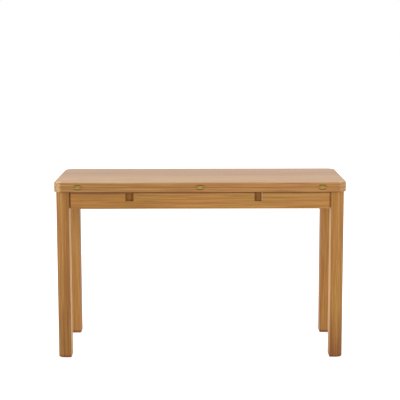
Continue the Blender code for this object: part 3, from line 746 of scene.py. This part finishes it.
# %% Shape the leaves
# radius and steps of each rounding
LEAF_CORNER = (0.032, 18)
OUTER_ROUND = (0.0025, 5)
INNER_ROUND = (0.0006, 2)
PLATE_DEPTH = 0.0016
BARREL_RADIUS = 0.0026
LENS_HALF_WIDTH = 0.0215
LENS_SIDES = 72
SCREW_HOLE_RADIUS = 0.0015
SCREW_HOLE_SIDES = 16
HINGES = ("left", "centre", "right")


def level_edges(shape, z):
    """The edges that lie at one height."""
    return [edge for edge in shape.edges if all(abs(vert.co.z - z) < SAME_PLACE for vert in edge.verts)]


def add_lens(shape, first, last, middle_z, half_height, front, back):
    """Add an oval disc with blunt ends that faces the front, in the outline of an opened hinge."""
    made = bmesh.ops.create_cone(
        shape,
        cap_ends=True,
        segments=LENS_SIDES,
        radius1=LENS_HALF_WIDTH,
        radius2=LENS_HALF_WIDTH,
        depth=back - front,
    )
    lie = Matrix.Rotation(math.pi / 2, 4, "X")
    flatten = Matrix.Diagonal((1, 1, half_height / LENS_HALF_WIDTH, 1))
    place = Matrix.Translation(((first + last) / 2, (front + back) / 2, middle_z))
    bmesh.ops.transform(shape, matrix=place @ flatten @ lie, verts=made["verts"])
    for vert in made["verts"]:
        vert.co.x = min(max(vert.co.x, first), last)
    return shape


def make_leaf(node, finish, body, plate, outer_up):
    """A leaf with rounded corners and edges, cut for its half of the hinges."""
    low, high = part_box(node)
    shape = add_block(bmesh.new(), low, high)
    upright = [edge for edge in shape.edges if abs(edge.verts[0].co.z - edge.verts[1].co.z) > SAME_PLACE]
    round_off(shape, upright, *LEAF_CORNER)
    round_off(shape, level_edges(shape, high.z if outer_up else low.z), *OUTER_ROUND)
    round_off(shape, level_edges(shape, low.z if outer_up else high.z), *INNER_ROUND)
    pockets, barrels, holes = bmesh.new(), bmesh.new(), bmesh.new()
    for side in HINGES:
        plate_low, plate_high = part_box(f"hinge_{side}_{plate}_plate")
        pin_low, pin_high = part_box(f"hinge_{side}_pin")
        pivot_y, pivot_z = (pin_low.y + pin_high.y) / 2, (pin_low.z + pin_high.z) / 2
        far_z = plate_high.z + FIT if outer_up else plate_low.z - FIT
        back = low.y + PLATE_DEPTH + FIT
        first, last = plate_low.x - FIT, plate_high.x + FIT
        add_lens(pockets, first, last, pivot_z, abs(far_z - pivot_z), low.y - CUT_PAST, back)
        add_rod(barrels, (first, pivot_y, pivot_z), (last, pivot_y, pivot_z), BARREL_RADIUS + FIT)
        for number in (1, 2):
            screw_low, screw_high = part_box(f"hinge_{side}_{plate}_screw_{number}")
            x, z = (screw_low.x + screw_high.x) / 2, (screw_low.z + screw_high.z) / 2
            add_rod(holes, (x, low.y, z), (x, screw_high.y + FIT, z), SCREW_HOLE_RADIUS, SCREW_HOLE_SIDES)
    mesh = cut(node + "_board", shape, [pockets, barrels, holes])
    return set_in_place(node + "_board", mesh, finish, body, SLOTS[node], node)


upper_board = make_leaf("upper_leaf", upper_oak, "flip_leaf", "moving", True)
lower_board = make_leaf("lower_leaf", lower_oak, "frame", "fixed", False)
print("leaves of", len(upper_board.data.polygons), "and", len(lower_board.data.polygons), "faces")

# %% [markdown]
# ## Eased wood
# The joiner takes a plane or a fold of sandpaper to every edge, so no arris on the real table is a knife edge. The
# solids of the rails, legs and bars already have the right outline, so each is copied, its loose triangles are joined
# into whole faces, and the long outside edges that are still sharp get a fine rounding. The copy stands for the solid.

# %% Ease rails, legs and bars
RAIL_EASE = 0.0006
LEG_EASE = 0.0005
LOPER_EASE = 0.0006
BAR_EASE = 0.0008
EASE_STEPS = 2
SHORTEST_EASED = 0.012
NEARLY_FLAT = math.radians(0.5)
SHARP = math.radians(60)


def eased_shape(node, radius, shortest):
    """A copy of a solid's shape with its long sharp outside edges eased."""
    shape = bmesh.new()
    shape.from_mesh(nodes[node].data)
    bmesh.ops.remove_doubles(shape, verts=shape.verts, dist=SAME_PLACE)
    bmesh.ops.dissolve_limit(shape, angle_limit=NEARLY_FLAT, verts=shape.verts, edges=shape.edges)
    sharp = [
        edge
        for edge in shape.edges
        if edge.is_manifold and edge.is_convex and edge.calc_length() > shortest
        if edge.calc_face_angle() > SHARP
    ]
    round_off(shape, sharp, radius, EASE_STEPS)
    return shape


def eased(node, finish, radius, shortest=SHORTEST_EASED, body="frame"):
    """An eased copy in the place of its solid."""
    name = node + "_eased"
    mesh = mesh_of(name, eased_shape(node, radius, shortest))
    return set_in_place(name, mesh, finish, body, SLOTS[node], node)


eased_wood = [eased(name, rail_oak, RAIL_EASE) for name in ("front_rail", "back_rail")]
eased_wood += [eased(name, end_rail_oak, RAIL_EASE) for name in ("end_rail_left", "end_rail_right")]
eased_wood += [eased(f"leg_{corner}", finish, LEG_EASE) for corner, finish in leg_oaks.items()]
for side in ("left", "right"):
    eased_wood.append(eased(f"loper_{side}", loper_wood, LOPER_EASE, body=f"{side}_loper"))
    for bar in ("cross_bearer", "loper_cleat", "loper_runner", "stop_peg"):
        eased_wood.append(eased(f"{bar}_{side}", hidden_oak, BAR_EASE))
print("eased", len(eased_wood), "wooden pieces")

# %% [markdown]
# ## Haunches
# Beside each leg the rail stops short and only its tenon goes on, which leaves the narrow dark gap of the picture. A
# joiner lets a small haunch of the tenon run up to the top of the rail, so that no light comes through above it. A
# small eased block at each end of each rail is all it takes.

# %% Close the gaps above the tenons
TENON_SHOULDER = 0.004
TENON_INSET = 0.006
HAUNCH_PLAY = 0.0002
HAUNCH_ROUND = 0.0003

haunches = 0
for rail, along, start, end in (
    ("front_rail", 0, RAIL_SHOULDER, LEG_INNER_X),
    ("back_rail", 0, RAIL_SHOULDER, LEG_INNER_X),
    ("end_rail_left", 1, END_RAIL_SHOULDER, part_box("leg_back_left")[0].y),
    ("end_rail_right", 1, END_RAIL_SHOULDER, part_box("leg_back_left")[0].y),
):
    low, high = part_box(rail)
    for side in (-1, 1):
        first, last = sorted((side * (start + HAUNCH_PLAY), side * (end - HAUNCH_PLAY)))
        block_low, block_high = Vector(low), Vector(high)
        block_low[along], block_high[along] = first, last
        block_low[1 - along] += TENON_INSET
        block_high[1 - along] -= TENON_INSET
        block_low.z = high.z - TENON_SHOULDER + HAUNCH_PLAY
        block_high.z -= HAUNCH_PLAY
        haunch = add_block(bmesh.new(), block_low, block_high)
        round_off(haunch, list(haunch.edges), HAUNCH_ROUND, EASE_STEPS)
        haunches += 1
        name = f"{rail}_haunch_{haunches}"
        set_in_place(name, mesh_of(name, haunch), rail_oak if along == 0 else end_rail_oak, "frame", "oak_frame")
print("closed", haunches, "gaps")

# %% [markdown]
# ## Hinges
# A plate on each leaf carries knuckles that turn on one pin, and two slotted screws hold each plate. Seen from the
# front the two plates make a flat oval with blunt ends, so each eased copy of a plate is trimmed to that oval, which
# is also the outline of its pocket. The pins get domed ends, and the screws are turned from a profile with a slightly
# raised head, then slotted, each slot at its own angle as a hand with a screwdriver leaves it.

# %% Make plates, pins and hinge screws
SLOT_ANGLES = (12, 75, 140, 33, 98, 161, 5, 64, 120, 47, 84, 152)
HEAD_RADIUS = 0.0024
HEAD_RISE = 0.00015
HEAD_FLAT = 0.6
HEAD_DEPTH = 0.0012
SHANK_RADIUS = 0.0012
SCREW_TIP = 0.003
SLOT_HALF_LENGTH = 0.003
SLOT_HALF_WIDTH = 0.00035
SLOT_DEPTH = 0.0006
PLATE_EASE = 0.00015
PLATE_SHORTEST = 0.003
PIN_SIDES = 24
# distance from a pin's end and radius, as shares of the pin's radius
PIN_DOME = ((0, 0), (0.3, 0.7), (0.8, 1))


def slotted_screw(node, degrees, body):
    """A countersunk screw in the place of its solid, with its slot turned by some degrees."""
    low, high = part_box(node)
    head = Vector(((low.x + high.x) / 2, low.y, (low.z + high.z) / 2))
    length = high.y - low.y
    profile = [(-HEAD_RISE, 0), (-HEAD_RISE * 2 / 3, HEAD_RADIUS * HEAD_FLAT), (0, HEAD_RADIUS)]
    profile += [(HEAD_DEPTH, SHANK_RADIUS), (length - SCREW_TIP, SHANK_RADIUS), (length, 0)]
    shape = turned(profile, head, (0, 1, 0))
    low_corner = (-SLOT_HALF_LENGTH, -CUT_PAST, -SLOT_HALF_WIDTH)
    slot = add_block(bmesh.new(), low_corner, (SLOT_HALF_LENGTH, SLOT_DEPTH, SLOT_HALF_WIDTH))
    turn = Matrix.Translation(head) @ Matrix.Rotation(math.radians(degrees), 4, "Y")
    bmesh.ops.transform(slot, matrix=turn, verts=slot.verts)
    name = node + "_slotted"
    return set_in_place(name, cut(name, shape, [slot]), hinge_brass, body, "brass", node)


def lens_plate(node, body):
    """An eased hinge plate, trimmed to the oval of its pocket."""
    low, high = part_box(node)
    reach = max(high.z - FOLD_Z, FOLD_Z - low.z)
    outline = add_lens(bmesh.new(), low.x - FIT, high.x + FIT, FOLD_Z, reach, low.y - CUT_PAST, high.y + CUT_PAST)
    name = node + "_oval"
    mesh = cut(name, eased_shape(node, PLATE_EASE, PLATE_SHORTEST), [outline], "INTERSECT")
    return set_in_place(name, mesh, hinge_brass, body, "brass", node)


hinge_pieces = []
angles = iter(SLOT_ANGLES)
for side in HINGES:
    for plate, body in (("moving", "flip_leaf"), ("fixed", "frame")):
        hinge_pieces.append(lens_plate(f"hinge_{side}_{plate}_plate", body))
        for number in (1, 2):
            hinge_pieces.append(slotted_screw(f"hinge_{side}_{plate}_screw_{number}", next(angles), body))
    low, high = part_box(f"hinge_{side}_pin")
    radius = (high.z - low.z) / 2
    ends = [(radius * along, radius * width) for along, width in PIN_DOME]
    profile = ends + [(high.x - low.x - along, width) for along, width in reversed(ends)]
    start = (low.x, (low.y + high.y) / 2, FOLD_Z)
    name = f"hinge_{side}_domed_pin"
    pin = mesh_of(name, turned(profile, start, (1, 0, 0), PIN_SIDES))
    hinge_pieces.append(set_in_place(name, pin, hinge_brass, "frame", "brass", f"hinge_{side}_pin"))
print("made", len(hinge_pieces), "hinge pieces")

# %% [markdown]
# ## Corner hardware and feet
# Each leg is drawn into its corner by a folded steel bracket, a hanger bolt and a flange nut. The bracket and the nut
# are eased copies. The bolt is turned with the ridges of its thread, the bracket's four wood screws are turned with
# domed, slotted heads, and the felt pad under the leg is a disc with a soft, slightly swollen rim.

# %% Make brackets, bolts, nuts and pads
THREAD_PITCH = 0.00125
THREAD_DEPTH = 0.0007
BOLT_LENGTH = 0.0447
BOLT_RADIUS = 0.004
FLANGE_HOLE_INSET = 0.010
BRACKET_STEEL = 0.002
BRACKET_EASE = 0.0003
BRACKET_SCREW_STEPS = (-0.013, 0.013)
NUT_EASE = 0.0004
NUT_SHORTEST = 0.003
BOLT_SIDES = 24
BOLT_TIP = 0.0005
BOLT_END = 0.7
DOMED_SIDES = 20
PAD_SIDES = 48
# distance from the seat and radius of a domed screw's head, as shares of the head's radius
SCREW_DOME = ((-0.55, 0), (-0.5, 0.45), (-0.3, 0.85), (0, 1), (0, 0.48))
DOMED_SHANK = 0.48
DOMED_TIP = 0.8
DOMED_SLOT_WIDTH = 0.11
DOMED_SLOT_DEPTH = 0.25
# height and radius of a pad's rim, as shares of its thickness and radius
PAD_RIM = ((0, 0.96), (0.3, 1), (0.7, 1), (1, 0.97))


def domed_screw(name, place, direction, head=0.0038, length=0.012):
    """A wood screw with a domed, slotted head, whose head rests at a place."""
    profile = [(head * along, head * width) for along, width in SCREW_DOME]
    profile += [(length * DOMED_TIP, head * DOMED_SHANK), (length, 0)]
    shape = turned(profile, (0, 0, 0), (0, 0, 1), DOMED_SIDES)
    wide = head * DOMED_SLOT_WIDTH
    slot = add_block(bmesh.new(), (-head, -wide, -head), (head, wide, -head * DOMED_SLOT_DEPTH))
    mesh = cut(name, shape, [slot])
    turn = Vector(direction).to_track_quat("Z", "Y").to_matrix().to_4x4()
    mesh.transform(Matrix.Translation(place) @ turn)
    return set_in_place(name, mesh, zinc_steel, "frame", "steel")


screws = []
for corner in LEG_TONE_SHADE_AND_LIGHT:
    low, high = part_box(f"leg_{corner}")
    middle = (low + high) / 2
    side_x, side_y = math.copysign(1, middle.x), math.copysign(1, middle.y)
    height = sum(point.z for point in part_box(f"leg_bolt_{corner}")) / 2
    ridges = int(BOLT_LENGTH / THREAD_PITCH) - 3
    profile = [(0, 0), (THREAD_PITCH * 2, BOLT_RADIUS - THREAD_DEPTH)]
    for ridge in range(2, ridges):
        profile.append((THREAD_PITCH * (ridge + 0.5), BOLT_RADIUS))
        profile.append((THREAD_PITCH * (ridge + 1), BOLT_RADIUS - THREAD_DEPTH))
    profile.append((BOLT_LENGTH - BOLT_TIP, BOLT_RADIUS - THREAD_DEPTH))
    profile += [(BOLT_LENGTH, BOLT_RADIUS * BOLT_END), (BOLT_LENGTH, 0)]
    bolt = turned(profile, (middle.x, middle.y, height), (-side_x, -side_y, 0), BOLT_SIDES)
    name = f"leg_bolt_{corner}_threaded"
    set_in_place(name, mesh_of(name, bolt), zinc_steel, "frame", "steel", f"leg_bolt_{corner}")
    eased(f"corner_bracket_{corner}", zinc_steel, BRACKET_EASE)
    eased(f"leg_nut_{corner}", zinc_steel, NUT_EASE, NUT_SHORTEST)
    low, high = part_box(f"corner_bracket_{corner}")
    near_x, far_x = (low.x, high.x) if side_x > 0 else (high.x, low.x)
    near_y, far_y = (low.y, high.y) if side_y > 0 else (high.y, low.y)
    for step in BRACKET_SCREW_STEPS:
        on_long = (near_x + side_x * FLANGE_HOLE_INSET, far_y - side_y * BRACKET_STEEL, height + step)
        on_end = (far_x - side_x * BRACKET_STEEL, near_y + side_y * FLANGE_HOLE_INSET, height + step)
        number = len(screws)
        screws.append(domed_screw(f"bracket_screw_{number + 1}", on_long, (0, side_y, 0)))
        screws.append(domed_screw(f"bracket_screw_{number + 2}", on_end, (side_x, 0, 0)))
    low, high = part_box(f"foot_pad_{corner}")
    radius, thick = (high.x - low.x) / 2, high.z
    rim = [(thick * up, radius * width) for up, width in PAD_RIM]
    foot = ((low.x + high.x) / 2, (low.y + high.y) / 2, 0)
    pad = turned([(0, 0), *rim, (thick, 0)], foot, (0, 0, 1), PAD_SIDES)
    name = f"foot_pad_{corner}_felt"
    set_in_place(name, mesh_of(name, pad), brown_felt, "frame", "felt", f"foot_pad_{corner}")
print("four corners with", len(screws), "bracket screws")

# %% [markdown]
# ## Guides of the lopers
# Under the top each loper runs between a cross bearer and a cleat, on a runner. Screws through the runner hold it to
# the cleat, and two long screws through each bearer hold the lower leaf down. In the right notch a thin pale slip
# fills most of the room beside the loper, and in the left notch a thinner brown one lies on either side of it.

# %% Add guide screws and slips
SLIP_GAP = 0.0002
SLIP_WIDTH = 0.0043
LINER_GAP = 0.0004
LINER_WIDTH = 0.00225
SLIP_SETBACK = 0.0008
SLIP_DEPTH = 0.016
SLIP_ROUND = 0.0004
RUNNER_SCREW_INSET = 0.008
RUNNER_SCREW_PARTS = (0.12, 0.5, 0.88)
RUNNER_SCREW_HEAD = 0.0034
LEAF_SCREW_PARTS = (0.25, 0.75)
LEAF_SCREW = {"head": 0.0045, "length": 0.02}

for side in ("left", "right"):
    low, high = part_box(f"loper_runner_{side}")
    for part in RUNNER_SCREW_PARTS:
        place = (low.x + RUNNER_SCREW_INSET, low.y + (high.y - low.y) * part, low.z)
        name = f"runner_screw_{side}_{int(part * 100)}"
        screws.append(domed_screw(name, place, (0, 0, 1), head=RUNNER_SCREW_HEAD))
    low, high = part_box(f"cross_bearer_{side}")
    for part in LEAF_SCREW_PARTS:
        place = ((low.x + high.x) / 2, low.y + (high.y - low.y) * part, low.z)
        name = f"leaf_screw_{side}_{int(part * 100)}"
        screws.append(domed_screw(name, place, (0, 0, 1), **LEAF_SCREW))


def line_notch(name, first, width, finish, slot):
    """A thin slip beside a loper, glued to the cheek of its notch."""
    loper_low, loper_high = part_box("loper_right")
    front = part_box("front_rail")[0].y
    low = (first, front + SLIP_SETBACK, loper_low.z)
    slip = add_block(bmesh.new(), low, (first + width, front + SLIP_DEPTH, loper_high.z))
    round_off(slip, list(slip.edges), SLIP_ROUND, EASE_STEPS)
    return set_in_place(name, mesh_of(name, slip), finish, "frame", slot)


pale_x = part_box("loper_right")[1].x + SLIP_GAP
outer_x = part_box("loper_left")[0].x - LINER_GAP - LINER_WIDTH
inner_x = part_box("loper_left")[1].x + LINER_GAP
slips = [
    line_notch("loper_right_slip", pale_x, SLIP_WIDTH, slip_wood, "oak_frame"),
    line_notch("loper_left_slip_outer", outer_x, LINER_WIDTH, brown_slip_wood, "oak_loper"),
    line_notch("loper_left_slip_inner", inner_x, LINER_WIDTH, brown_slip_wood, "oak_loper"),
]
print("screws in all", len(screws), "and slips", len(slips))
